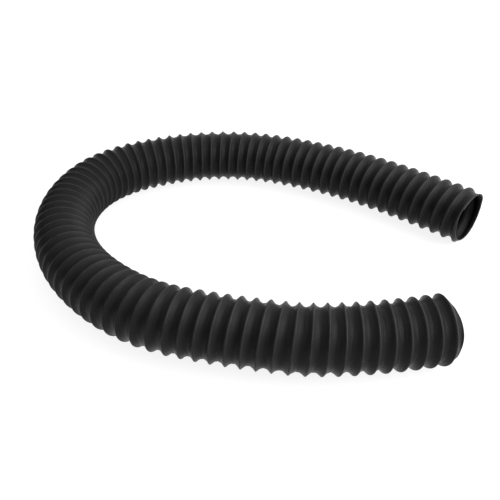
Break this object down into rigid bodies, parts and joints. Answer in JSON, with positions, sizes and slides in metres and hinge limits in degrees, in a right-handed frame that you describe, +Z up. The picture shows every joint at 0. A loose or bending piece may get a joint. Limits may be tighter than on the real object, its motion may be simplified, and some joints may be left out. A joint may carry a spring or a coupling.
{
  "type": "vacuum hose",
  "caption": "Flexible wire-reinforced two-inch vacuum hose lying in an open C: convoluted black cover, steel coil and thin liner, cut square at both open mouths.",
  "frame": {"origin": "middle of the hose's footprint, on the surface that it lies on", "axes": "+X the way the C opens, along its longest extent; +Y from the near leg to the far leg; +Z up, across the hose's diameter"},
  "size_m": [0.4994, 0.4133, 0.0625],
  "materials": {
    "cover": "matte rubber-coated fabric, outer ply",
    "liner": "satin rubber-coated fabric, inner ply",
    "wire": "drawn spring-steel wire"
  },
  "bodies": {
    "crown": {"crown_cover": "cover", "crown_wire": "wire", "crown_liner": "liner", "near_bend_cover": "cover", "near_bend_wire": "wire", "near_bend_liner": "liner", "far_bend_cover": "cover", "far_bend_wire": "wire", "far_bend_liner": "liner"},
    "near_leg": {"near_leg_cover": "cover", "near_leg_wire": "wire", "near_leg_liner": "liner"},
    "far_leg": {"far_leg_cover": "cover", "far_leg_wire": "wire", "far_leg_liner": "liner"}
  },
  "joints": [
    {"name": "near_bend_flex", "type": "hinge", "parent": "crown", "child": "near_leg", "pos_m": [-0.1595, -0.101, 0.03125], "axis": [0, 0, 1], "range_deg": [-60, 10], "deforming": ["near_bend_cover", "near_bend_wire", "near_bend_liner"]},
    {"name": "far_bend_flex", "type": "hinge", "parent": "crown", "child": "far_leg", "pos_m": [-0.152, 0.1475, 0.03125], "axis": [0, 0, 1], "range_deg": [-10, 75], "deforming": ["far_bend_cover", "far_bend_wire", "far_bend_liner"]}
  ]
}
